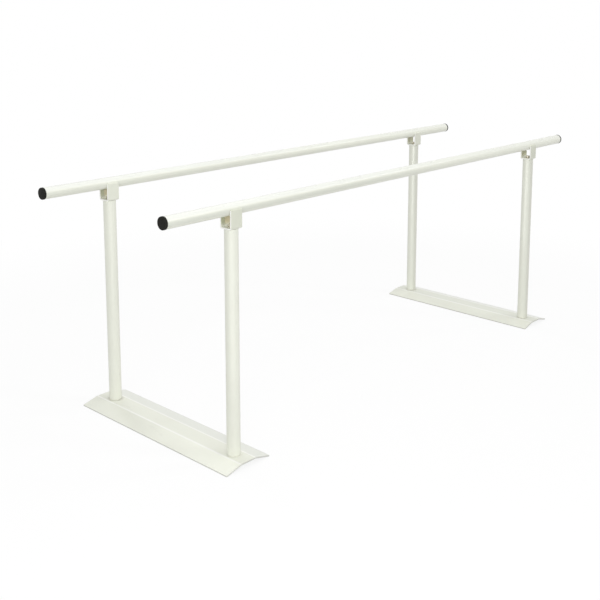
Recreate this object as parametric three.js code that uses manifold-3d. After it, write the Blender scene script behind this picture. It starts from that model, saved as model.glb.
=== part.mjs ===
// Rehab walking parallel bars: two fixed handrails on four round posts, with a pair of posts
// standing on an arched steel floor plate at each end of the walkway.
// Millimetres, +Z up. +X runs along the walkway from its front end to its rear end, and +Y points
// to the left of someone who walks that way. The origin is on the floor, midway between the posts.

import * as THREE from 'three';
import { mergeVertices } from 'three/addons/utils/BufferGeometryUtils.js';
import Module from 'manifold-3d';

const wasm = await Module();
wasm.setup();

// Layout
const railLength = 2230;
const railTopHeight = 800;
const railSpacing = 600;
const railOverhang = 250;

// Handrail tube
const railDiameter = 38.1;
const railWall = 2.3;

// Post tube
const postDiameter = 42.7;
const postWall = 2.3;

// Rail end cap: a flange outside the tube and a hollow ribbed barrel inside it
const capOverhang = 0.4;
const capFlange = 7.5;
const capEdgeRadius = 2;
const capBarrelLength = 22;
const capBarrelWall = 2;
const capRibHeight = 1;
const capRibWidth = 3;
const capRibs = 2;

// Rail saddle: a flat bar bent to a U, with the rail between its ears
const saddleLength = 45;
const saddleThickness = 4.5;
const saddleBendRadius = 3;
const saddleWindow = 35;

// Floor plate: a sheet with a flat band for the posts and two wings that slope to the floor
const plateOverhang = 65;
const plateStance = 178;
const plateThickness = 4;
const plateBand = 60;
const plateClearance = 14.5;
const plateBendRadius = 14;
const plateCornerRadius = 3;
const plateToe = 0.5;

// Threaded plug welded into each end of a post
const plugThickness = 12;

// Fasteners
const boltDiameter = 10;
const boltLength = 20;
const boltTip = 1;
const headFlats = 17;
const headHeight = 7;
const headFaceShare = 0.92;
const washerDiameter = 21;
const washerThickness = 2;

// Clearances
const fitGap = 0.3;
const boltHoleGap = 0.5;
const tubeEdge = 0.4;
const saddleEdge = 0.6;
const overrun = 5;

// Facets
const tubeSegments = 48;
const capSegments = 28;
const plugSegments = 24;
const fastenerSegments = 20;
const bendSegments = 5;
const edgeSegments = 3;
const saddleEdgeSegments = 1;
const hexagonSides = 6;

// Heights and places that follow from the sizes above
const postSpacing = railLength - 2 * railOverhang;
const plateLength = railSpacing + 2 * plateOverhang;
const railHeight = railTopHeight - railDiameter / 2;
const bandTop = plateClearance + plateThickness;
const saddleTop = railHeight;
const webTop = railHeight - railDiameter / 2 - saddleWindow;
const postTop = webTop - saddleThickness;
const postLength = postTop - bandTop;
const plateToeX = plateStance / 2;
const plateSlope = Math.atan2(plateClearance + plateToe, plateToeX - plateBand / 2);
const plateReach = plateToeX + plateThickness * Math.sin(plateSlope);
const railBore = railDiameter - 2 * railWall;
const postBore = postDiameter - 2 * postWall;
const saddleGap = railDiameter + 2 * fitGap;
const boltHoleDiameter = boltDiameter + 2 * boltHoleGap;
const tappedDiameter = boltDiameter + 2 * fitGap;

const quarterTurn = Math.PI / 2;
const headChamferAngle = Math.PI / 6;

// Finishes
const ivoryPaint = { color: 0xe9eae0, roughness: 0.42, metalness: 0 };
const blackPlastic = { color: 0x1c1c1d, roughness: 0.6, metalness: 0 };
const darkSteel = { color: 0x55554f, roughness: 0.45, metalness: 1 };
const bareSteel = { color: 0x9a9a96, roughness: 0.5, metalness: 1 };

function solidOf(geometry) {
  const bare = geometry.clone();
  bare.deleteAttribute('normal');
  bare.deleteAttribute('uv');
  const merged = mergeVertices(bare);
  const vertProperties = new Float32Array(merged.attributes.position.array);
  const triVerts = new Uint32Array(merged.index.array);
  return new wasm.Manifold(new wasm.Mesh({ numProp: 3, vertProperties, triVerts }));
}

function geometryOf(solid) {
  const mesh = solid.getMesh();
  const geometry = new THREE.BufferGeometry();
  geometry.setAttribute('position', new THREE.BufferAttribute(mesh.vertProperties, mesh.numProp));
  geometry.setIndex(new THREE.BufferAttribute(mesh.triVerts, 1));
  geometry.computeVertexNormals();
  return geometry;
}

// A profile of radius and height pairs, turned about the +Z axis
function turned(profile, segments) {
  const points = profile.map(([radius, height]) => new THREE.Vector2(radius, height));
  const geometry = new THREE.LatheGeometry(points, segments);
  geometry.rotateX(quarterTurn);
  return geometry;
}

// A tube from z = 0 upwards, with its outer edges broken
function tube(diameter, bore, length) {
  const outer = diameter / 2;
  const inner = bore / 2;
  const profile = [
    [inner, 0],
    [outer - tubeEdge, 0],
    [outer, tubeEdge],
    [outer, length - tubeEdge],
    [outer - tubeEdge, length],
    [inner, length],
    [inner, 0],
  ];
  return turned(profile, tubeSegments);
}

// A flat ring from z = 0 upwards
function ring(diameter, hole, thickness, segments) {
  const profile = [
    [hole / 2, 0],
    [diameter / 2, 0],
    [diameter / 2, thickness],
    [hole / 2, thickness],
    [hole / 2, 0],
  ];
  return turned(profile, segments);
}

function bar(diameter, length, segments) {
  const profile = [
    [0, 0],
    [diameter / 2, 0],
    [diameter / 2, length],
    [0, length],
  ];
  return turned(profile, segments);
}

// An end cap: the flange lies above z = 0 and the open barrel hangs below it
function railCap() {
  const flangeRadius = railDiameter / 2 + capOverhang;
  const ribRadius = railBore / 2 - fitGap;
  const barrelRadius = ribRadius - capRibHeight;
  const hollowRadius = barrelRadius - capBarrelWall;
  const ribPitch = capBarrelLength / capRibs;
  const profile = [
    [0, -capBarrelWall],
    [hollowRadius, -capBarrelWall],
    [hollowRadius, -capBarrelLength],
    [barrelRadius, -capBarrelLength],
  ];
  for (let i = 0; i < capRibs; i += 1) {
    const ribBase = -capBarrelLength + i * ribPitch + (ribPitch - capRibWidth) / 2;
    profile.push([barrelRadius, ribBase]);
    profile.push([ribRadius, ribBase + capRibHeight]);
    profile.push([ribRadius, ribBase + capRibWidth - capRibHeight]);
    profile.push([barrelRadius, ribBase + capRibWidth]);
  }
  profile.push([barrelRadius, 0]);
  profile.push([flangeRadius, 0]);
  for (let i = 0; i <= edgeSegments; i += 1) {
    const angle = quarterTurn * i / edgeSegments;
    const radius = flangeRadius - capEdgeRadius * (1 - Math.cos(angle));
    profile.push([radius, capFlange - capEdgeRadius * (1 - Math.sin(angle))]);
  }
  profile.push([0, capFlange]);
  return turned(profile, capSegments);
}

// The saddle's outline across the rail, from the outside of one ear round to the other
function saddleShape() {
  const inner = saddleGap / 2;
  const outer = inner + saddleThickness;
  const bend = saddleBendRadius;
  const outerBend = bend + saddleThickness;
  const shape = new THREE.Shape();
  shape.moveTo(outer, saddleTop);
  shape.lineTo(inner, saddleTop);
  shape.lineTo(inner, webTop + bend);
  shape.absarc(inner - bend, webTop + bend, bend, 0, -quarterTurn, true);
  shape.lineTo(bend - inner, webTop);
  shape.absarc(bend - inner, webTop + bend, bend, -quarterTurn, -2 * quarterTurn, true);
  shape.lineTo(-inner, saddleTop);
  shape.lineTo(-outer, saddleTop);
  shape.lineTo(-outer, webTop + bend);
  shape.absarc(bend - inner, webTop + bend, outerBend, 2 * quarterTurn, 3 * quarterTurn, false);
  shape.lineTo(inner - bend, postTop);
  shape.absarc(inner - bend, webTop + bend, outerBend, -quarterTurn, 0, false);
  return shape;
}

// The saddle, with its edges broken and a hole through its web for the bolt
function railSaddle() {
  const geometry = new THREE.ExtrudeGeometry(saddleShape(), {
    depth: saddleLength - 2 * saddleEdge,
    curveSegments: bendSegments,
    bevelThickness: saddleEdge,
    bevelSize: saddleEdge,
    bevelOffset: -saddleEdge,
    bevelSegments: saddleEdgeSegments,
  });
  geometry.translate(0, 0, saddleEdge - saddleLength / 2);
  geometry.rotateX(quarterTurn);
  geometry.rotateZ(quarterTurn);
  const drill = bar(boltHoleDiameter, saddleThickness + 2 * overrun, fastenerSegments);
  drill.translate(0, 0, postTop - overrun);
  return geometryOf(solidOf(geometry).subtract(solidOf(drill)));
}

// The sheet's outline along the walkway: its flat band, its two bends and its two wings, whose
// lower edges are dressed flat where they stand on the floor
function plateOutline() {
  const bendX = plateBand / 2 - plateBendRadius * Math.tan(plateSlope / 2);
  const bendZ = plateClearance - plateBendRadius;
  const outerBend = plateBendRadius + plateThickness;
  const edgeTop = plateThickness * Math.cos(plateSlope) - plateToe;
  const toeOuter = plateToeX + plateToe * Math.tan(plateSlope);
  const toeInner = plateToeX - plateToe / Math.tan(plateSlope);
  const up = quarterTurn;
  const shape = new THREE.Shape();
  shape.moveTo(toeOuter, 0);
  shape.lineTo(plateReach, edgeTop);
  shape.absarc(bendX, bendZ, outerBend, up - plateSlope, up, false);
  shape.absarc(-bendX, bendZ, outerBend, up, up + plateSlope, false);
  shape.lineTo(-plateReach, edgeTop);
  shape.lineTo(-toeOuter, 0);
  shape.lineTo(-toeInner, 0);
  shape.absarc(-bendX, bendZ, plateBendRadius, up + plateSlope, up, true);
  shape.absarc(bendX, bendZ, plateBendRadius, up, up - plateSlope, true);
  shape.lineTo(toeInner, 0);
  return shape;
}

// The plate's outline from above, with rounded corners
function plateBlank() {
  const x = plateReach;
  const y = plateLength / 2;
  const r = plateCornerRadius;
  const shape = new THREE.Shape();
  shape.moveTo(x, r - y);
  shape.absarc(x - r, y - r, r, 0, quarterTurn, false);
  shape.absarc(r - x, y - r, r, quarterTurn, 2 * quarterTurn, false);
  shape.absarc(r - x, r - y, r, 2 * quarterTurn, 3 * quarterTurn, false);
  shape.absarc(x - r, r - y, r, 3 * quarterTurn, 4 * quarterTurn, false);
  return new THREE.ExtrudeGeometry(shape, {
    depth: bandTop + 2 * overrun,
    curveSegments: bendSegments,
    bevelEnabled: false,
  });
}

function floorPlate() {
  const sheet = new THREE.ExtrudeGeometry(plateOutline(), {
    depth: plateLength + 2 * overrun,
    curveSegments: bendSegments,
    bevelEnabled: false,
  });
  sheet.rotateX(quarterTurn);
  sheet.translate(0, plateLength / 2 + overrun, 0);
  const blank = plateBlank();
  blank.translate(0, 0, -overrun);
  let solid = solidOf(sheet).intersect(solidOf(blank));
  for (const side of [-1, 1]) {
    const drill = bar(boltHoleDiameter, plateThickness + 2 * overrun, fastenerSegments);
    drill.translate(0, side * railSpacing / 2, plateClearance - overrun);
    solid = solid.subtract(solidOf(drill));
  }
  return geometryOf(solid);
}

// A hexagon bolt with its shank pointing down from z = 0 and its head above
function hexBolt() {
  const cornerRadius = headFlats / Math.sqrt(3);
  const faceRadius = headFaceShare * headFlats / 2;
  const chamfer = (cornerRadius - faceRadius) * Math.tan(headChamferAngle);
  const hexagon = new THREE.CylinderGeometry(cornerRadius, cornerRadius, headHeight, hexagonSides);
  hexagon.rotateX(quarterTurn);
  hexagon.translate(0, 0, headHeight / 2);
  const envelope = turned([
    [0, -headHeight],
    [cornerRadius, -headHeight],
    [cornerRadius, headHeight - chamfer],
    [faceRadius, headHeight],
    [0, headHeight],
  ], fastenerSegments);
  const shank = turned([
    [0, -boltLength],
    [boltDiameter / 2 - boltTip, -boltLength],
    [boltDiameter / 2, boltTip - boltLength],
    [boltDiameter / 2, headHeight / 2],
    [0, headHeight / 2],
  ], fastenerSegments);
  const head = solidOf(hexagon).intersect(solidOf(envelope));
  return geometryOf(head.add(solidOf(shank)));
}

function piece(name, geometry, finish) {
  const mesh = new THREE.Mesh(geometry, new THREE.MeshStandardMaterial(finish));
  mesh.name = name;
  return mesh;
}

// One post with what fastens it to the plate below and to the saddle above
function postAssembly(place) {
  const group = new THREE.Group();

  const post = piece(`post_${place}`, tube(postDiameter, postBore, postLength), ivoryPaint);
  post.position.z = bandTop;
  group.add(post);

  const plugDiameter = postBore - 2 * fitGap;
  const plug = ring(plugDiameter, tappedDiameter, plugThickness, plugSegments);
  const footPlug = piece(`foot_plug_${place}`, plug, bareSteel);
  footPlug.position.z = bandTop;
  group.add(footPlug);

  const topPlug = piece(`top_plug_${place}`, plug.clone(), bareSteel);
  topPlug.position.z = postTop - plugThickness;
  group.add(topPlug);

  const washer = ring(washerDiameter, boltHoleDiameter, washerThickness, fastenerSegments);
  const footWasher = piece(`foot_washer_${place}`, washer, darkSteel);
  footWasher.position.z = plateClearance - washerThickness;
  group.add(footWasher);

  const footBolt = piece(`foot_bolt_${place}`, hexBolt().rotateX(2 * quarterTurn), darkSteel);
  footBolt.position.z = plateClearance - washerThickness;
  group.add(footBolt);

  const saddleWasher = piece(`saddle_washer_${place}`, washer.clone(), darkSteel);
  saddleWasher.position.z = webTop;
  group.add(saddleWasher);

  const saddleBolt = piece(`saddle_bolt_${place}`, hexBolt(), darkSteel);
  saddleBolt.position.z = webTop + washerThickness;
  group.add(saddleBolt);

  group.add(piece(`rail_saddle_${place}`, railSaddle(), ivoryPaint));
  return group;
}

// One handrail with its two end caps, along +X
function railAssembly(side) {
  const group = new THREE.Group();
  group.rotation.y = quarterTurn;

  const rail = piece(`rail_${side}`, tube(railDiameter, railBore, railLength), ivoryPaint);
  rail.position.z = -railLength / 2;
  group.add(rail);

  const rearCap = piece(`rail_cap_rear_${side}`, railCap(), blackPlastic);
  rearCap.position.z = railLength / 2 + fitGap;
  group.add(rearCap);

  const frontCap = piece(`rail_cap_front_${side}`, railCap(), blackPlastic);
  frontCap.rotation.x = 2 * quarterTurn;
  frontCap.position.z = -railLength / 2 - fitGap;
  group.add(frontCap);
  return group;
}

const bars = new THREE.Group();
const ends = { front: -1, rear: 1 };
const sides = { right: -1, left: 1 };

for (const [end, along] of Object.entries(ends)) {
  const frame = new THREE.Group();
  frame.position.x = along * postSpacing / 2;
  frame.add(piece(`floor_plate_${end}`, floorPlate(), ivoryPaint));
  for (const [side, across] of Object.entries(sides)) {
    const assembly = postAssembly(`${end}_${side}`);
    assembly.position.y = across * railSpacing / 2;
    frame.add(assembly);
  }
  bars.add(frame);
}

for (const [side, across] of Object.entries(sides)) {
  const assembly = railAssembly(side);
  assembly.position.set(0, across * railSpacing / 2, railHeight);
  bars.add(assembly);
}

export default bars;
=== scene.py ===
import math

import bmesh
import bpy
from mathutils import Euler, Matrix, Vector


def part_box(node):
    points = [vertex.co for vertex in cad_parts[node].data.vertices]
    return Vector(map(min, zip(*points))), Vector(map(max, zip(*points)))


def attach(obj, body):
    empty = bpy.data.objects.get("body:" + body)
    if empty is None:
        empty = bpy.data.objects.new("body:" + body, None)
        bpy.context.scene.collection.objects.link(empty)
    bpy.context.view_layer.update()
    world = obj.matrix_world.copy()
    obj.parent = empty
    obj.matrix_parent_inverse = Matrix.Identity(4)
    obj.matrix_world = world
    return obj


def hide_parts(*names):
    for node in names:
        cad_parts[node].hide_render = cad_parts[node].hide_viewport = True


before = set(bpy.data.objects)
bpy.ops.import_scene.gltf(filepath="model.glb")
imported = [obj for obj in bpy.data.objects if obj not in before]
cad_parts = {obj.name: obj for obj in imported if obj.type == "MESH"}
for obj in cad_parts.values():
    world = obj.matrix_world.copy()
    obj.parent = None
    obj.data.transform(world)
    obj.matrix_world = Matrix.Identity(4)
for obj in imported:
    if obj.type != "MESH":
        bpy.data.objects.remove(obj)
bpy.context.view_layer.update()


class Extent:
    """A CAD node's box, in metres."""

    def __init__(self, node):
        self.low, self.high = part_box(node)
        self.middle = (self.low + self.high) / 2
        self.size = self.high - self.low


# Places, all taken from the CAD nodes' boxes. The front right corner is modelled, and the others
# are copies.
BODY = "root"
ENDS = {"front": -1, "rear": 1}
SIDES = {"right": -1, "left": 1}
CORNER = "front_right"
RAIL = Extent("rail_right")
CAP = Extent(f"rail_cap_{CORNER}")
SADDLE = Extent(f"rail_saddle_{CORNER}")
POST = Extent(f"post_{CORNER}")
PLATE = Extent("floor_plate_front")
SADDLE_WASHER = Extent(f"saddle_washer_{CORNER}")
SADDLE_BOLT = Extent(f"saddle_bolt_{CORNER}")
FOOT_WASHER = Extent(f"foot_washer_{CORNER}")
FOOT_BOLT = Extent(f"foot_bolt_{CORNER}")
POST_X = abs(POST.middle.x)
POST_Y = abs(POST.middle.y)
POST_REACH = {"X": POST_X, "Y": POST_Y}
RAIL_RADIUS = RAIL.size.z / 2
POST_RADIUS = POST.size.y / 2

# Sizes that a box can't give, in metres
MM = 0.001
OVERRUN = 5 * MM
TUBE_WALL = 2.3 * MM
RAIL_EDGE = 0.5 * MM
POST_EDGE = 1.6 * MM
CAP_FLANGE = 7.5 * MM
CAP_OVERHANG = 0.4 * MM
CAP_EDGE = 2 * MM
CAP_PLAY = 1.3 * MM
CAP_BARREL_WALL = 2 * MM
CAP_RIB = 1 * MM
CAP_RIB_LEAD = 7 * MM
SADDLE_THICKNESS = 4.5 * MM
SADDLE_BEND = 7.5 * MM
SADDLE_EDGE = 0.7 * MM
PLATE_THICKNESS = 4 * MM
PLATE_BAND = 60 * MM
PLATE_STANCE = 178 * MM
PLATE_DIP = 0.5 * MM
PLATE_CUT = 0.15 * MM
PLATE_BEND = 12 * MM
PLATE_CORNER = 3 * MM
PLATE_EDGE = 0.5 * MM
BOLT_RADIUS = 5 * MM
BOLT_TIP = 1 * MM
BOLT_HOLE = 5.5 * MM
BOLT_HEAD = 7 * MM
BOLT_SIDES = 6
BOLT_FLATS = 17 * MM
BOLT_CHAMFER = math.radians(30)
BOLT_CROWN = 0.46 * BOLT_FLATS
BOLT_COLLAR = 0.45 * BOLT_FLATS
BOLT_COLLAR_DROP = 0.2 * MM
BOLT_COLLAR_RISE = 0.4 * MM
BOLT_DIMPLE = 0.5 * MM
BOLT_DIMPLE_RIM = 0.78 * BOLT_CROWN
BOLT_DIMPLE_FLOOR = 0.72 * BOLT_CROWN
BOLT_EDGE = 0.25 * MM
WASHER_EDGE = 0.6 * MM
WELD_RADIUS = 3.1 * MM
WELD_PITCH = 2.1 * MM
WELD_RIPPLES = 19
WELD_SQUEEZE = 0.62
WELD_OUTWARD = 0.2 * MM
WELD_UPWARD = 0.1 * MM
WELD_GRAIN = 0.45 * MM

# How finely the new pieces are made
TUBE_SIDES = 96
CAP_SIDES = 64
SMALL_SIDES = 48
BEND_STEPS = 8
SMOOTH_ANGLE = math.radians(35)
EDGE_ANGLE = math.radians(40)

# How closely a face has to fit a test
ON_AXIS = MM / 10
FACING = 0.9

UP = Vector((0, 0, 1))
ALONG = Vector((1, 0, 0))


# Modelling helpers

def select_only(active, *others):
    """Selects one piece, and others with it, and makes the first one active."""
    bpy.ops.object.select_all(action="DESELECT")
    for piece in (active, *others):
        piece.select_set(True)
    bpy.context.view_layer.objects.active = active


def start(name, add, **settings):
    """Adds a primitive and opens it for editing, with nothing else selected."""
    bpy.ops.object.select_all(action="DESELECT")
    add(**settings)
    piece = bpy.context.object
    piece.name = piece.data.name = name
    bpy.ops.object.transform_apply(location=True, rotation=True, scale=True)
    bpy.ops.object.mode_set(mode="EDIT")
    return piece


def pick(piece, kind, test):
    """Selects only the faces, edges or vertices that pass a test on their middle and themselves."""
    bpy.ops.mesh.select_mode(type=kind)
    bpy.ops.mesh.select_all(action="DESELECT")
    mesh = bmesh.from_edit_mesh(piece.data)
    for part in {"FACE": mesh.faces, "EDGE": mesh.edges, "VERT": mesh.verts}[kind]:
        corners = [part] if kind == "VERT" else part.verts
        middle = sum((corner.co for corner in corners), Vector()) / len(corners)
        if test(middle, part):
            part.select_set(True)
    mesh.select_flush_mode()
    bmesh.update_edit_mesh(piece.data)


def end_face(base, axis, *sides):
    """A test for the faces that close a round piece at the given sides of its axis."""

    def test(middle, face):
        offset = middle - base
        if (offset - axis * offset.dot(axis)).length >= ON_AXIS:
            return False
        return any(face.normal.dot(axis) * side > FACING for side in sides)

    return test


def resize_about(centre, share):
    bpy.ops.transform.resize(value=(share, share, share), center_override=centre)


def draw_out(base, axis, profile):
    """Extrudes the selected end face through a profile of heights along the axis and radii."""
    for (height, radius), (next_height, next_radius) in zip(profile, profile[1:]):
        step = axis * (next_height - height)
        bpy.ops.mesh.extrude_region_move(TRANSFORM_OT_translate={"value": step})
        resize_about(base + axis * next_height, next_radius / radius)


def turned(name, base, axis, upper, lower, sides=SMALL_SIDES):
    """A cylinder between the first heights of two profiles, drawn out through both of them."""
    top, radius = upper[0]
    bottom = lower[0][0]
    piece = start(
        name,
        bpy.ops.mesh.primitive_cylinder_add,
        vertices=sides,
        radius=radius,
        depth=top - bottom,
        location=base + axis * (top + bottom) / 2,
        rotation=UP.rotation_difference(axis).to_euler(),
    )
    for profile, side in ((upper, 1), (lower, -1)):
        pick(piece, "FACE", end_face(base, axis, side))
        draw_out(base, axis, profile)
    return piece


def bored(piece, base, axis, radius, bore):
    """Narrows both end faces of a round bar to the bore and opens a tunnel between them."""
    for side in (1, -1):
        pick(piece, "FACE", end_face(base, axis, side))
        bpy.ops.mesh.extrude_region_move()
        mesh = bmesh.from_edit_mesh(piece.data)
        face = next(face for face in mesh.faces if face.select)
        resize_about(face.calc_center_median(), bore / radius)
    pick(piece, "FACE", end_face(base, axis, 1, -1))
    bpy.ops.mesh.bridge_edge_loops()


def finish_mesh(piece, *modifiers):
    """Leaves edit mode, applies the modifiers in turn and shades the piece smooth between edges."""
    bpy.ops.object.mode_set(mode="OBJECT")
    for kind, settings in modifiers:
        modifier = piece.modifiers.new(kind, kind)
        for name, value in settings.items():
            setattr(modifier, name, value)
        bpy.ops.object.modifier_apply(modifier=kind)
    bpy.ops.object.shade_smooth_by_angle(angle=SMOOTH_ANGLE)
    return piece


def thickened(thickness):
    """A wall of one thickness on the inner side of a sheet's faces."""
    return "SOLIDIFY", {"thickness": thickness, "offset": -1, "use_even_offset": True}


def broken_edges(width, segments=3):
    """A bevel on every edge that turns by more than the edge angle."""
    return "BEVEL", {
        "width": width,
        "segments": segments,
        "limit_method": "ANGLE",
        "angle_limit": EDGE_ANGLE,
        "harden_normals": False,
    }


def even_shading():
    return "WEIGHTED_NORMAL", {"keep_sharp": True, "weight": 90}


def use_tool(piece, tool, operation):
    """Leaves edit mode, cuts, joins or intersects a piece with a tool, and removes the tool."""
    bpy.ops.object.mode_set(mode="OBJECT")
    select_only(piece)
    modifier = piece.modifiers.new("tool", "BOOLEAN")
    modifier.operation = operation
    modifier.solver = "EXACT"
    modifier.object = tool
    bpy.ops.object.modifier_apply(modifier="tool")
    bpy.data.objects.remove(tool)


def drill(piece, base, low, high):
    """Cuts a hole for a bolt through a piece that reaches from low to high above the base."""
    upper = [(high + OVERRUN, BOLT_HOLE)]
    lower = [(low - OVERRUN, BOLT_HOLE)]
    use_tool(piece, turned("drill", base, UP, upper, lower), "DIFFERENCE")


def copied(piece, name, shift=(0, 0, 0), turn=0.0):
    """A copy with its own mesh, moved, or turned about the vertical through the origin."""
    select_only(piece)
    bpy.ops.object.duplicate()
    copy = bpy.context.object
    copy.name = copy.data.name = name
    copy.location = shift
    copy.rotation_euler.z = turn
    bpy.ops.object.transform_apply(location=True, rotation=True, scale=True)
    return copy


def quarter_round(height, radius, edge, steps):
    """Profile points that round a cylinder's edge inwards, from its side to its end."""
    turns = [math.pi / 2 * step / steps for step in range(steps + 1)]
    return [
        (height - edge * (1 - math.sin(turn)), radius - edge * (1 - math.cos(turn)))
        for turn in turns
    ]


# Pieces of the front right corner

def rail_tube():
    base = Vector((0, RAIL.middle.y, RAIL.middle.z))
    half = RAIL.size.x / 2
    upper = quarter_round(half, RAIL_RADIUS, RAIL_EDGE, steps=4)
    lower = [(-height, radius) for height, radius in upper]
    piece = turned("painted_rail_right", base, ALONG, upper, lower, TUBE_SIDES)
    bored(piece, base, ALONG, RAIL_RADIUS - RAIL_EDGE, RAIL_RADIUS - TUBE_WALL)
    return finish_mesh(piece)


def post_tube():
    base = Vector((POST.middle.x, POST.middle.y, POST.low.z))
    upper = quarter_round(POST.size.z, POST_RADIUS, POST_EDGE, steps=6)
    lower = [(POST.size.z - height, radius) for height, radius in upper]
    piece = turned(f"painted_post_{CORNER}", base, UP, upper, lower, TUBE_SIDES)
    bored(piece, base, UP, POST_RADIUS - POST_EDGE, POST_RADIUS - TUBE_WALL)
    return finish_mesh(piece)


def rail_cap():
    """A moulded end cap: a rounded flange with a shallow dished face, and a ribbed barrel."""
    base = Vector((CAP.low.x + CAP_FLANGE, CAP.middle.y, CAP.middle.z))
    flange = RAIL_RADIUS + CAP_OVERHANG
    barrel = RAIL_RADIUS - TUBE_WALL - CAP_PLAY
    depth = CAP.size.x - CAP_FLANGE
    # How far the face is sunk at a radius, in millimetres: a groove, a dish and the gate's mark
    groove = [(0.3, 16.6), (0.45, 16.2), (0.45, 15.4), (0.3, 15.0)]
    dish = [(0.18, 10), (0.1, 5)]
    gate = [(0.1, 1.5), (0.5, 1.3), (0.5, 0.4)]
    upper = quarter_round(CAP_FLANGE, flange, CAP_EDGE, steps=8)
    upper += [(CAP_FLANGE - sunk * MM, radius * MM) for sunk, radius in groove + dish + gate]
    lower = [(0, flange), (0, barrel)]
    for rib in (1, 2):
        first = CAP_RIB_LEAD - depth * rib / 2
        for step, raised in enumerate((0, 1, 1, 0)):
            lower.append((first - step * CAP_RIB, barrel + raised * CAP_RIB))
    hollow = barrel - CAP_BARREL_WALL
    lower += [(-depth, barrel), (-depth, hollow), (-CAP_BARREL_WALL, hollow)]
    piece = turned(f"moulded_cap_{CORNER}", base, -ALONG, upper, lower, CAP_SIDES)
    return finish_mesh(piece)


def saddle_blank():
    """A flat bar bent to a U, with a hole through its web."""
    piece = start(f"bent_saddle_{CORNER}", bpy.ops.mesh.primitive_plane_add, size=1)
    width = SADDLE.size.y
    foot = Vector((SADDLE.middle.x, SADDLE.middle.y, SADDLE.low.z))
    bpy.ops.mesh.select_all(action="SELECT")
    bpy.ops.transform.resize(value=(SADDLE.size.x, width, 1), center_override=(0, 0, 0))
    bpy.ops.transform.translate(value=foot)

    def on_side(middle):
        return abs(middle.y - foot.y) > width / 2 - MM

    pick(piece, "EDGE", lambda middle, edge: on_side(middle))
    bpy.ops.mesh.extrude_region_move(TRANSFORM_OT_translate={"value": (0, 0, SADDLE.size.z)})
    bpy.ops.mesh.select_all(action="SELECT")
    bpy.ops.mesh.normals_make_consistent(inside=False)
    pick(piece, "EDGE", lambda middle, edge: on_side(middle) and middle.z < foot.z + MM)
    bpy.ops.mesh.bevel(offset=SADDLE_BEND, segments=BEND_STEPS, affect="EDGES")
    finish_mesh(piece, thickened(SADDLE_THICKNESS))
    drill(piece, foot, 0, SADDLE_THICKNESS)
    return finish_mesh(piece, broken_edges(SADDLE_EDGE), even_shading())


def weld_bead(side):
    """A rippled fillet weld on the top of one ear, where it meets the rail."""
    first = SADDLE.middle.x - WELD_PITCH * (WELD_RIPPLES - 1) / 2
    middle_y = RAIL.middle.y + side * (RAIL_RADIUS + WELD_OUTWARD)
    piece = start(
        "weld_bead", bpy.ops.mesh.primitive_uv_sphere_add, segments=16, ring_count=10,
        radius=WELD_RADIUS, location=(first, middle_y, SADDLE.high.z + WELD_UPWARD))
    bpy.ops.mesh.select_all(action="SELECT")
    centre = (first, middle_y, SADDLE.high.z)
    bpy.ops.transform.resize(value=(WELD_SQUEEZE, 1, 1), center_override=centre)
    return finish_mesh(
        piece,
        ("ARRAY", {
            "count": WELD_RIPPLES,
            "use_relative_offset": False,
            "use_constant_offset": True,
            "constant_offset_displace": (WELD_PITCH, 0, 0)}),
        ("REMESH", {"mode": "VOXEL", "voxel_size": WELD_GRAIN, "use_smooth_shade": True}),
    )


def rail_saddle():
    """The bent saddle, joined with a weld bead on each ear."""
    piece = saddle_blank()
    beads = [weld_bead(side) for side in SIDES.values()]
    select_only(piece, *beads)
    bpy.ops.object.join()
    return piece


def folded_sheet():
    """A sheet with no thickness yet: a flat band, and two wings that slope just past the floor."""
    piece = start("folded_plate_front", bpy.ops.mesh.primitive_plane_add, size=1)
    reach = PLATE.size.x / 2
    half_band = PLATE_BAND / 2
    centre = PLATE.middle.x
    clearance = PLATE.high.z - PLATE_THICKNESS
    slope = math.atan2(clearance + PLATE_DIP, (PLATE_STANCE - PLATE_BAND) / 2)
    drop = (reach - half_band) * math.tan(slope)
    bpy.ops.mesh.select_all(action="SELECT")
    bpy.ops.transform.resize(value=(PLATE_BAND, PLATE.size.y, 1), center_override=(0, 0, 0))
    bpy.ops.transform.translate(value=(centre, 0, PLATE.high.z))
    for side in (1, -1):
        pick(piece, "EDGE", lambda middle, edge: (middle.x - centre) * side > half_band - MM)
        step = (side * (reach - half_band), 0, -drop)
        bpy.ops.mesh.extrude_region_move(TRANSFORM_OT_translate={"value": step})
    pick(piece, "VERT", lambda middle, vertex: abs(middle.x - centre) > reach - MM)
    bpy.ops.mesh.bevel(offset=PLATE_CORNER, segments=BEND_STEPS, affect="VERTICES")
    pick(piece, "EDGE", lambda middle, edge: middle.z > PLATE.high.z - MM
         and abs(middle.x - centre) > half_band - MM)
    bend = (PLATE_BEND + PLATE_THICKNESS) * math.tan(slope / 2)
    bpy.ops.mesh.bevel(offset=bend, segments=6, affect="EDGES")
    bpy.ops.mesh.select_all(action="SELECT")
    bpy.ops.mesh.normals_make_consistent(inside=False)
    return piece


def floor_plate():
    """The folded sheet with its thickness, cut level along the floor and drilled for its bolts.

    The cut lies a hair above the floor, because the broken edges swell a little below it.
    """
    piece = folded_sheet()
    finish_mesh(piece, thickened(PLATE_THICKNESS))
    bpy.ops.object.mode_set(mode="EDIT")
    bpy.ops.mesh.select_all(action="SELECT")
    cut = (0, 0, PLATE_CUT)
    bpy.ops.mesh.bisect(plane_co=cut, plane_no=UP, clear_inner=True, use_fill=True)
    bpy.ops.object.mode_set(mode="OBJECT")
    for side in SIDES.values():
        drill(piece, Vector((PLATE.middle.x, side * POST_Y, PLATE.high.z)), -PLATE_THICKNESS, 0)
    return finish_mesh(piece, broken_edges(PLATE_EDGE), even_shading())


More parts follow.
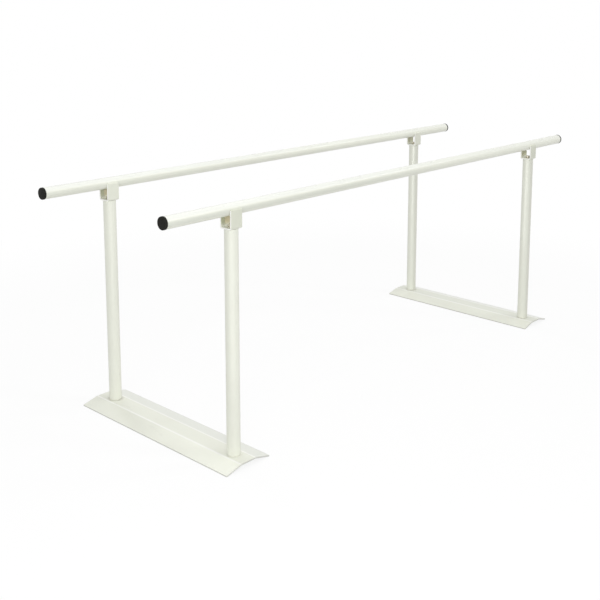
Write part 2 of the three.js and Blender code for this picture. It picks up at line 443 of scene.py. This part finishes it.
def bolt_head(name, base, axis):
    """What a hexagonal bar shares with a chamfered round one, with a dimple in its crown."""
    corner = BOLT_FLATS / math.sqrt(3)
    head = turned(
        name, base, axis, [(BOLT_HEAD, corner)], [(BOLT_COLLAR_RISE, corner)], BOLT_SIDES)
    bpy.ops.object.mode_set(mode="OBJECT")
    shoulder = BOLT_HEAD - (corner - BOLT_CROWN) * math.tan(BOLT_CHAMFER)
    chamfer = [(shoulder, corner), (BOLT_HEAD, BOLT_CROWN)]
    envelope = turned("envelope", base, axis, chamfer, [(-BOLT_HEAD, corner)])
    use_tool(head, envelope, "INTERSECT")
    bpy.ops.object.mode_set(mode="EDIT")
    pick(head, "FACE", end_face(base, axis, 1))
    draw_out(base, axis, [
        (BOLT_HEAD, BOLT_CROWN),
        (BOLT_HEAD, BOLT_DIMPLE_RIM),
        (BOLT_HEAD - BOLT_DIMPLE, BOLT_DIMPLE_FLOOR),
    ])
    bpy.ops.object.mode_set(mode="OBJECT")
    return head


def hexagon_bolt(name, box, way):
    """A bolt whose head lies at one end of its box: way is 1 for a head on top and -1 below."""
    axis = UP * way
    top = box.high.z if way > 0 else -box.low.z
    base = Vector((box.middle.x, box.middle.y, way * (top - BOLT_HEAD)))
    length = box.size.z - BOLT_HEAD
    head = bolt_head(name, base, axis)
    collar = [
        (-BOLT_COLLAR_DROP, BOLT_RADIUS),
        (-BOLT_COLLAR_DROP, BOLT_COLLAR),
        (BOLT_HEAD / 2, BOLT_COLLAR),
    ]
    tip = [(BOLT_TIP - length, BOLT_RADIUS), (-length, BOLT_RADIUS - BOLT_TIP)]
    use_tool(head, turned("shank", base, axis, collar, tip), "UNION")
    return finish_mesh(head, broken_edges(BOLT_EDGE, 2))


def washer(name, box):
    base = Vector((box.middle.x, box.middle.y, box.low.z))
    radius = box.size.x / 2
    upper = quarter_round(box.size.z, radius, WASHER_EDGE, steps=4)
    piece = turned(name, base, UP, upper, [(0, radius)])
    bored(piece, base, UP, radius, BOLT_HOLE)
    return finish_mesh(piece)


# Materials

class Signal:
    """One output of a node. Arithmetic on it adds Math nodes."""

    def __init__(self, nodes, socket):
        self.nodes = nodes
        self.socket = socket

    def math(self, operation, *values):
        return self.nodes.node("ShaderNodeMath", {"operation": operation}, dict(enumerate(values)))

    def __add__(self, other):
        return self.math("ADD", self, other)

    def __radd__(self, other):
        return self.math("ADD", other, self)

    def __sub__(self, other):
        return self.math("SUBTRACT", self, other)

    def __rsub__(self, other):
        return self.math("SUBTRACT", other, self)

    def __mul__(self, other):
        return self.math("MULTIPLY", self, other)

    def __rmul__(self, other):
        return self.math("MULTIPLY", other, self)

    def __pow__(self, other):
        return self.math("POWER", self, other)

    def __or__(self, other):
        return self.math("MAXIMUM", self, other)

    def __abs__(self):
        return self.math("ABSOLUTE", self)

    def sine(self):
        return self.math("SINE", self)


class Nodes:
    """A node tree, of a material or of the world."""

    def __init__(self, tree):
        self.tree = tree

    def feed(self, socket, value):
        """Links a signal to a socket, or sets the socket to a constant."""
        if isinstance(value, Signal):
            self.tree.links.new(value.socket, socket)
        else:
            socket.default_value = value

    def node(self, kind, settings, inputs, output=0):
        """Adds a node, sets it, feeds its inputs with constants or signals, returns an output."""
        node = self.tree.nodes.new(kind)
        for name, value in settings.items():
            setattr(node, name, value)
        for name, value in inputs.items():
            self.feed(node.inputs[name], value)
        return Signal(self, node.outputs[output])


class Finish(Nodes):
    """A material: its nodes, and the Principled shader that they feed."""

    def __init__(self, name):
        self.material = bpy.data.materials.new(name)
        self.material.use_nodes = True
        super().__init__(self.material.node_tree)
        self.shader = self.tree.nodes["Principled BSDF"]
        self.place = self.node("ShaderNodeTexCoord", {}, {}, "Object")

    def axis(self, name):
        return self.node("ShaderNodeSeparateXYZ", {}, {"Vector": self.place}, name)

    def noise(self, scale, detail=3.0, roughness=0.5, stretch=(1, 1, 1)):
        """Soft random patches from 0 to 1, with scale patches to the metre."""
        place = self.node("ShaderNodeMapping", {}, {"Vector": self.place, "Scale": stretch})
        return self.node(
            "ShaderNodeTexNoise", {},
            {"Vector": place, "Scale": scale, "Detail": detail, "Roughness": roughness})

    def specks(self, scale, size):
        """Round specks at random places: 1 at the middle of a speck and 0 outside it."""
        distance = self.node("ShaderNodeTexVoronoi", {}, {"Vector": self.place, "Scale": scale})
        return self.ramp(distance, size, 0)

    def ramp(self, value, low, high):
        """A smooth step from 0 at low to 1 at high."""
        return self.node(
            "ShaderNodeMapRange", {"interpolation_type": "SMOOTHSTEP"},
            {"Value": value, "From Min": low, "From Max": high})

    def blend(self, share, first, second):
        """The second colour over the first, by a share from 0 to 1."""
        return self.node("ShaderNodeMix", {"data_type": "RGBA"}, {0: share, 6: first, 7: second}, 2)

    def relief(self, height):
        """Bumps of a height in millimetres."""
        return self.node("ShaderNodeBump", {}, {"Height": height, "Distance": MM, "Strength": 1.0})

    def half(self, name):
        """0 at the posts on an axis's low side, 1 at the others, and a smooth step between."""
        reach = POST_REACH[name] / 2
        return self.ramp(self.axis(name), -reach, reach)

    def offset(self, name):
        """How far along an axis a point lies from the nearest post's middle, with its sign."""
        return self.axis(name) - (2 * self.half(name) - 1) * POST_REACH[name]

    def distance(self, name):
        """How far along an axis a point lies from the nearest post's middle, without its sign."""
        return abs(abs(self.axis(name)) - POST_REACH[name])

    def ring_distance(self):
        """The distance from the nearest post's axis."""
        return (self.distance("X") ** 2 + self.distance("Y") ** 2) ** 0.5

    def finished(self, **sockets):
        """Feeds the shader's sockets, named with underscores for spaces, returns the material."""
        for name, value in sockets.items():
            self.feed(self.shader.inputs[name.replace("_", " ")], value)
        return self.material


# Colours, linear
IVORY = (0.835, 0.850, 0.755, 1)
THIN_IVORY = (0.805, 0.810, 0.715, 1)
# Painted shade on the saddles' cheeks and weld beads
CHEEK_SHADE_IVORY = (0.705, 0.725, 0.615, 1)
# Painted highlight: a whiter ivory on the rails' crown
CROWN_HIGHLIGHT_IVORY = (0.835, 0.850, 0.795, 1)
# Painted shade: a darker ivory on the rails' flanks, over the posts, and on parts of the plates
PAINTED_SHADE_IVORY = (0.705, 0.725, 0.645, 1)
# Painted shade on the plates' back wing
BACK_WING_SHADE_IVORY = (0.795, 0.810, 0.745, 1)
# Painted light on the front wing's right part
PAINTED_LIGHT_IVORY = (0.880, 0.895, 0.795, 1)
# Painted shade inside the saddles' windows, deep and paler
DEEP_WINDOW_SHADE = (0.49, 0.51, 0.335, 1)
PALE_WINDOW_SHADE = (0.74, 0.66, 0.43, 1)
# Painted highlight on the plates' bends and the saddles' end edges
EDGE_HIGHLIGHT = (0.97, 0.97, 0.93, 1)
# Painted shade along the plates' cut rims
RIM_SHADE = (0.46, 0.46, 0.43, 1)
# Grime, and painted shade at the posts' feet and on the rear posts and saddles
GRIME_AND_SHADE = (0.44, 0.42, 0.37, 1)
SCUFF = (0.56, 0.55, 0.50, 1)
DUST = (0.70, 0.68, 0.61, 1)
BLACK = (0.009, 0.009, 0.007, 1)
WORN_BLACK = (0.034, 0.034, 0.028, 1)
DARK_ZINC = (0.64, 0.60, 0.50, 1)
PALE_ZINC = (0.80, 0.76, 0.66, 1)
TURNED_STEEL = (0.50, 0.49, 0.47, 1)

# Turning marks, in radians to the metre
PLATED_RINGS = 9000
LATHE_RINGS = 16000


class Paint(Finish):
    """Powder coat: ivory, semi-gloss, with orange peel and slow changes of thickness."""

    def __init__(self, name):
        super().__init__(name)
        cloud = self.ramp(self.noise(9, 3), 0.35, 0.7)
        mottle = self.noise(160, 2)
        self.colour = self.blend(0.5 * cloud + 0.1 * mottle, IVORY, THIN_IVORY)
        peel = self.noise(420, 2, 0.45)
        grain = self.noise(1900, 1)
        nibs = self.specks(130, 0.09)
        self.height = 0.014 * peel + 0.003 * grain + 0.012 * nibs
        self.gloss = 0.25 + 0.1 * self.noise(60, 3) + 0.05 * grain

    def cover(self, share, colour):
        """Lays a colour over what is there, by a share from 0 to 1."""
        self.colour = self.blend(share, self.colour, colour)

    def coated(self):
        return self.finished(
            Base_Color=self.colour,
            Roughness=self.gloss,
            Normal=self.relief(self.height),
            Specular_IOR_Level=0.5,
        )


def rail_paint():
    """A painted highlight along the crown, stronger at the front, and painted shade along the
    flanks below it, most at the front right; hands polish patches on top and leave a little dust.
    """
    paint = Paint("ivory_paint_on_rails")
    height = paint.axis("Z") - RAIL.middle.z
    front = 1 - paint.half("X")
    right = 1 - paint.half("Y")
    crown = paint.ramp(height, 0.25 * RAIL_RADIUS, 0.7 * RAIL_RADIUS)
    below_crown = paint.ramp(height, 0.45 * RAIL_RADIUS, 0.05 * RAIL_RADIUS)
    flank_shade = below_crown * paint.ramp(height, -0.65 * RAIL_RADIUS, -0.25 * RAIL_RADIUS)
    # Painted highlight along the crown, and painted shade along the front flanks
    paint.cover(crown * (0.5 + 0.5 * front), CROWN_HIGHLIGHT_IVORY)
    paint.cover(flank_shade * front * (0.4 + 0.45 * right), PAINTED_SHADE_IVORY)
    top = paint.ramp(height, 0.4 * RAIL_RADIUS, RAIL_RADIUS)
    handled = top * paint.ramp(paint.noise(5, 3), 0.42, 0.62)
    paint.gloss = paint.gloss - 0.1 * handled
    paint.cover(0.12 * handled, DUST)
    return paint.coated()


def post_paint():
    """Dust at the foot, grime with painted contact shade at the joint, knocks low on the tube, and
    painted shade over the tube, deepest on the outer side at the rear.
    """
    paint = Paint("ivory_paint_on_posts")
    height = paint.axis("Z") - POST.low.z
    foot = paint.ramp(height, 14 * MM, 0)
    joint = paint.ramp(height, 4 * MM, MM)
    paint.cover(0.35 * foot * paint.noise(90, 3), DUST)
    # Grime with painted contact shade where the post meets the plate
    paint.cover(0.15 * joint * paint.ramp(paint.noise(50, 2), 0.3, 0.6), GRIME_AND_SHADE)
    rear = paint.half("X")
    outward = paint.offset("X") - paint.offset("Y")
    # Painted shade: the whole tube a little darker, and the rear posts' outer side darker still
    paint.cover(0.13 + 0.35 * rear * paint.ramp(outward, -6 * MM, 6 * MM), PAINTED_SHADE_IVORY)
    paint.cover(0.25 * rear * paint.ramp(outward, 4 * MM, 12 * MM), GRIME_AND_SHADE)
    low = paint.ramp(height, 300 * MM, 50 * MM)
    knocks = low * paint.ramp(paint.noise(70, 3, 0.6, (1, 1, 0.35)), 0.71, 0.76)
    paint.cover(0.3 * knocks, SCUFF)
    paint.height = paint.height - 0.02 * knocks
    return paint.coated()


def plate_paint():
    """Scuffs from shoes, grime and painted shade round the posts, painted shade and light on the
    band and wings, painted highlights on the bends, and painted shade on the rims.
    """
    paint = Paint("ivory_paint_on_plates")
    half_band = PLATE_BAND / 2
    across = paint.distance("X")
    behind = paint.offset("X")
    rear = paint.half("X")
    left = paint.half("Y")
    scuffs = paint.ramp(paint.noise(26, 4, 0.6, (1.6, 0.5, 1)), 0.62, 0.70)
    fine = paint.ramp(paint.noise(140, 2, 0.5, (0.25, 2.2, 1)), 0.66, 0.74)
    paint.cover(0.10 * scuffs + 0.08 * fine, SCUFF)
    paint.gloss = paint.gloss + 0.08 * scuffs
    paint.height = paint.height - 0.006 * fine

    # Grime and painted shade round the posts, most of it on the left
    round_foot = paint.ramp(paint.ring_distance(), POST_RADIUS + 12 * MM, POST_RADIUS)
    foot_grime_and_shade = paint.ramp(paint.noise(45, 3), 0.3, 0.65) * (0.12 + 0.6 * left)
    paint.cover(round_foot * foot_grime_and_shade, GRIME_AND_SHADE)

    # Painted shade on the back wing, the rear band and the front wing's left part, and painted
    # light on the front wing's right part
    blur = 2 * MM
    back_wing = paint.ramp(behind, half_band, half_band + blur)
    front_wing = paint.ramp(behind, -half_band, -half_band - blur) * (1 - rear)
    band = paint.ramp(across, half_band, half_band - blur)
    front_wing_shade = paint.ramp(paint.axis("Y"), -50 * MM, 100 * MM)
    front_wing_light = paint.ramp(paint.axis("Y"), -70 * MM, -270 * MM)
    paint.cover(back_wing, BACK_WING_SHADE_IVORY)
    paint.cover(0.4 * rear * band, PAINTED_SHADE_IVORY)
    paint.cover(0.28 * front_wing * front_wing_shade, PAINTED_SHADE_IVORY)
    paint.cover(front_wing * front_wing_light, PAINTED_LIGHT_IVORY)

    # Painted highlights along the bends, and painted shade along the cut rims
    bend = paint.ramp(abs(across - half_band), 4 * MM, 1.5 * MM)
    reach = PLATE.size.x / 2
    rim = paint.ramp(across, reach - 2.5 * MM, reach - 0.5 * MM)
    end = PLATE.size.y / 2
    tip = paint.ramp(abs(paint.axis("Y")), end - 2 * MM, end - 0.3 * MM)
    paint.cover(0.8 * bend, EDGE_HIGHLIGHT)
    paint.cover(0.6 * paint.ramp(rim + tip, 0.1, 1), RIM_SHADE)
    return paint.coated()


def saddle_paint():
    """Painted shade on a saddle's cheeks and weld beads, and painted highlights on its end edges;
    its window is duller, with deep painted shade inside, paler towards the back.
    """
    paint = Paint("ivory_paint_on_saddles")
    along = paint.distance("X")
    across = paint.distance("Y")
    height = paint.axis("Z")
    rear = paint.half("X")
    left = paint.half("Y")
    end = SADDLE.size.x / 2
    side = SADDLE.size.y / 2

    # The inner faces of the window, between the web and the rail, carry painted shade
    inner = side - SADDLE_THICKNESS
    inside = paint.ramp(across, inner + 0.6 * MM, inner + 0.2 * MM)
    within = paint.ramp(along, end - 0.2 * MM, end - 1.2 * MM)
    above = paint.ramp(height, SADDLE.low.z + SADDLE_THICKNESS, SADDLE.low.z + 20 * MM)
    below = paint.ramp(height, RAIL.low.z + 3 * MM, RAIL.low.z - MM)
    window_shade_mask = inside * within * above * below * (0.8 + 0.2 * paint.noise(120, 4))

    weld = paint.ramp(height, SADDLE.high.z - 2 * MM, SADDLE.high.z + MM)
    cheek = paint.ramp(across, side - 0.8 * MM, side - 0.3 * MM)
    # Painted shade on the cheeks and weld beads, less on the left, and more on the rear cheeks
    paint.cover(paint.ramp(cheek + weld, 0, 1) * (1 - 0.6 * left), CHEEK_SHADE_IVORY)
    paint.cover(0.15 * cheek * rear, GRIME_AND_SHADE)
    # Painted highlight on the end edges
    paint.cover(paint.ramp(along, end - 0.9 * MM, end - 0.4 * MM), EDGE_HIGHLIGHT)
    # Painted shade in the window: olive in front, tan further back where light gets in, less at the
    # left and the rear
    window_shade = window_shade_mask * (1 - 0.16 * left - 0.14 * rear)
    tan = paint.ramp(paint.axis("X"), -POST_X - 9 * MM, -POST_X - 5 * MM) - 0.7 * rear
    paint.cover(window_shade, paint.blend(tan, DEEP_WINDOW_SHADE, PALE_WINDOW_SHADE))
    paint.gloss = paint.gloss + 0.25 * window_shade_mask + 0.06 * weld
    return paint.coated()


def cap_plastic():
    """Black moulded plastic with a fine spark-eroded grain, paler where it has been rubbed."""
    plastic = Finish("black_moulded_plastic")
    grain = plastic.noise(2600, 2, 0.6)
    coarse = plastic.noise(700, 2)
    rubbed = plastic.ramp(plastic.noise(150, 4, 0.6), 0.50, 0.72)
    return plastic.finished(
        Base_Color=plastic.blend(0.55 * rubbed + 0.12 * coarse, BLACK, WORN_BLACK),
        Roughness=0.5 + 0.14 * coarse - 0.1 * rubbed,
        Normal=plastic.relief(0.012 * grain + 0.008 * coarse),
        Specular_IOR_Level=0.1,
    )


def plated_steel():
    """Dark zinc on bolts and washers: cloudy, with faint turning rings and paler high spots."""
    steel = Finish("dark_zinc_plate")
    rings = (steel.ring_distance() * PLATED_RINGS).sine()
    cloud = steel.ramp(steel.noise(260, 4, 0.6), 0.35, 0.7)
    return steel.finished(
        Base_Color=steel.blend(0.7 * cloud, DARK_ZINC, PALE_ZINC),
        Metallic=0.9,
        Roughness=0.38 + 0.2 * cloud,
        Normal=steel.relief(0.0015 * rings + 0.006 * steel.noise(1500, 3)),
    )


def turned_steel():
    """Bare steel on the plugs inside the posts, with the rings that the lathe left."""
    steel = Finish("bare_turned_steel")
    rings = (steel.ring_distance() * LATHE_RINGS).sine()
    tarnish = steel.ramp(steel.noise(180, 4, 0.6), 0.4, 0.75)
    return steel.finished(
        Base_Color=steel.blend(0.6 * tarnish, TURNED_STEEL, PALE_ZINC),
        Metallic=1.0,
        Roughness=0.4 + 0.15 * tarnish,
        Normal=steel.relief(0.004 * rings + 0.004 * steel.noise(1200, 3)),
    )


# The object

def coat(piece, material):
    """Gives a piece one material."""
    piece.data.materials.clear()
    piece.data.materials.append(material)
    return piece


def dress(piece, node):
    """Puts a new piece in the place of its CAD node, on the object's one body."""
    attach(piece, BODY)
    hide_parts(node)


def corners():
    """Each corner's name, with the move that takes a front right piece there."""
    for end, along in ENDS.items():
        for side, across in SIDES.items():
            yield f"{end}_{side}", ((along + 1) * POST_X, (across + 1) * POST_Y, 0)


def fill_corners(piece, prefix, node, material):
    """Coats a front right piece, copies it to the other corners and dresses all four."""
    coat(piece, material)
    for corner, shift in corners():
        made = piece if corner == CORNER else copied(piece, f"{prefix}_{corner}", shift)
        dress(made, f"{node}_{corner}")


def build_rails():
    right = coat(rail_tube(), rail_paint())
    left = copied(right, "painted_rail_left", (0, 2 * POST_Y, 0))
    dress(right, "rail_right")
    dress(left, "rail_left")


def build_caps():
    front_right = coat(rail_cap(), cap_plastic())
    front_left = copied(front_right, "moulded_cap_front_left", (0, 2 * POST_Y, 0))
    rear_left = copied(front_right, "moulded_cap_rear_left", turn=math.pi)
    rear_right = copied(front_left, "moulded_cap_rear_right", turn=math.pi)
    for piece in (front_right, front_left, rear_left, rear_right):
        dress(piece, piece.name.replace("moulded", "rail"))


def build_plates():
    front = coat(floor_plate(), plate_paint())
    rear = copied(front, "folded_plate_rear", (2 * POST_X, 0, 0))
    dress(front, "floor_plate_front")
    dress(rear, "floor_plate_rear")


def build_corners():
    fill_corners(post_tube(), "painted_post", "post", post_paint())
    fill_corners(rail_saddle(), "bent_saddle", "rail_saddle", saddle_paint())
    plated = plated_steel()
    for place, box, way in (("saddle", SADDLE_BOLT, 1), ("foot", FOOT_BOLT, -1)):
        prefix = f"hexagon_bolt_{place}"
        bolt = hexagon_bolt(f"{prefix}_{CORNER}", box, way)
        fill_corners(bolt, prefix, f"{place}_bolt", plated)
    for place, box in (("saddle", SADDLE_WASHER), ("foot", FOOT_WASHER)):
        prefix = f"plain_washer_{place}"
        disc = washer(f"{prefix}_{CORNER}", box)
        fill_corners(disc, prefix, f"{place}_washer", plated)


def build_plugs():
    """The plugs inside the posts stay the CAD's own, and get their steel."""
    steel = turned_steel()
    for corner, _ in corners():
        for node in (f"foot_plug_{corner}", f"top_plug_{corner}"):
            coat(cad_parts[node], steel)


# The scene round the object

PHOTO_SIZE = 600
PHOTO_FOCUS = 929
PHOTO_HEADING = math.radians(42.89)
PHOTO_TILT = math.radians(8.71)
PHOTO_PLACE = (-2.674, -2.2557, 1.3615)
PHOTO_SHIFT = -0.25
SENSOR = 36

FLOOR_SIZE = 300
FLOOR_BOUNCE = 0.66
FLOOR_SHOWN = 1.0
FLOOR_SHADOW = 0.16
SHADOW_FULL = 1.4
SHADOW_GONE = 2.6
ROOM_LIGHT = 0.52


def photo_camera():
    """The photograph's view: from in front of the right rail, a little above the rails."""
    bpy.ops.object.camera_add(
        location=PHOTO_PLACE,
        rotation=(math.pi / 2 - PHOTO_TILT, 0, PHOTO_HEADING - math.pi / 2),
    )
    camera = bpy.context.object
    camera.data.sensor_width = SENSOR
    camera.data.lens = SENSOR * PHOTO_FOCUS / PHOTO_SIZE
    camera.data.shift_y = PHOTO_SHIFT
    bpy.context.scene.camera = camera


def seen_white(nodes):
    """1 for rays from the camera, mirrors and glass, which see the backdrop white."""
    camera, glossy, transmission = (
        nodes.node("ShaderNodeLightPath", {}, {}, f"Is {kind} Ray")
        for kind in ("Camera", "Glossy", "Transmission"))
    return camera | glossy | transmission


def studio_floor():
    """A white floor that glows where it is seen, apart from a faint shadow near the object."""
    bpy.ops.object.select_all(action="DESELECT")
    bpy.ops.mesh.primitive_plane_add(size=FLOOR_SIZE)
    floor = bpy.context.object
    floor.name = "studio_floor"
    material = bpy.data.materials.new("studio_floor")
    material.use_nodes = True
    nodes = Nodes(material.node_tree)
    nodes.tree.nodes.clear()

    def matt(grey):
        return nodes.node("ShaderNodeBsdfDiffuse", {}, {"Color": (grey, grey, grey, 1)})

    glow = nodes.node("ShaderNodeEmission", {}, {})
    place = nodes.node("ShaderNodeTexCoord", {}, {}, "Object")
    distance = nodes.node("ShaderNodeVectorMath", {"operation": "LENGTH"}, {0: place}, "Value")
    near = nodes.node(
        "ShaderNodeMapRange", {"interpolation_type": "SMOOTHSTEP"},
        {"Value": distance, "From Min": SHADOW_GONE, "From Max": SHADOW_FULL,
         "To Max": FLOOR_SHADOW})
    shown = nodes.node("ShaderNodeMixShader", {}, {0: near, 1: glow, 2: matt(FLOOR_SHOWN)})
    surface = nodes.node(
        "ShaderNodeMixShader", {}, {0: seen_white(nodes), 1: matt(FLOOR_BOUNCE), 2: shown})
    output = nodes.tree.nodes.new("ShaderNodeOutputMaterial")
    nodes.feed(output.inputs["Surface"], surface)
    coat(floor, material)


def studio_room():
    """A plain pale room: white where it is seen, and a little dimmer where it lights."""
    world = bpy.data.worlds.new("studio_room")
    bpy.context.scene.world = world
    world.use_nodes = True
    nodes = Nodes(world.node_tree)
    strength = nodes.node(
        "ShaderNodeMapRange", {}, {"Value": seen_white(nodes), "To Min": ROOM_LIGHT})
    background = nodes.tree.nodes["Background"]
    nodes.feed(background.inputs["Color"], (1, 1, 1, 1))
    nodes.feed(background.inputs["Strength"], strength)


def lamp(name, kind, strength, **placing):
    """A light of a kind. A lamp's strength is in watts, a sun's in watts to the square metre."""
    bpy.ops.object.light_add(type=kind, **placing)
    light = bpy.context.object
    light.name = light.data.name = name
    light.data.energy = strength
    return light


def soft_sun(name, azimuth, elevation, strength, spread):
    """A broad, distant light. Azimuth is where it stands, from +X towards +Y, in degrees."""
    turn = math.radians(azimuth)
    rise = math.radians(elevation)
    level = math.cos(rise)
    stand = Vector((math.cos(turn) * level, math.sin(turn) * level, math.sin(rise)))
    light = lamp(name, "SUN", strength, rotation=UP.rotation_difference(stand).to_euler())
    light.data.angle = math.radians(spread)


def soft_box(name, place, size, power, rotation=(0, 0, 0)):
    """A square lamp that isn't seen itself. Unturned, it faces straight down."""
    light = lamp(name, "AREA", power, location=place, rotation=rotation)
    light.data.size = size
    light.visible_camera = False
    return light


def sheen_box(name, place, heading, size, power):
    """An upright square lamp that only reflections show, facing a heading from +X in degrees."""
    turn = Euler((math.radians(90), 0, math.radians(heading - 90)))
    light = soft_box(name, place, size, power, turn)
    light.visible_diffuse = False


def studio_lights():
    soft_sun("camera_light", azimuth=215, elevation=8, strength=0.8, spread=20)
    soft_sun("side_light", azimuth=300, elevation=30, strength=0.4, spread=12)
    soft_sun("right_light", azimuth=330, elevation=30, strength=0.24, spread=12)
    soft_sun("far_light", azimuth=75, elevation=50, strength=0.17, spread=12)
    soft_box("top_box", (0, 0, 4), size=4, power=43)
    soft_box("front_box", (-2.2, -2.0, 1.6), size=1, power=16)
    soft_box("near_box", (-0.9, -0.7, 1.8), size=1, power=0.7)
    sheen_box("front_sheen", (-1.2, -0.65, 0.45), heading=45, size=0.8, power=3)
    sheen_box("rear_sheen", (-0.28, -0.3, 0.45), heading=15, size=0.8, power=5)


bpy.context.scene.view_settings.view_transform = "Standard"
photo_camera()
studio_room()
studio_floor()
studio_lights()
build_rails()
build_caps()
build_plates()
build_corners()
build_plugs()
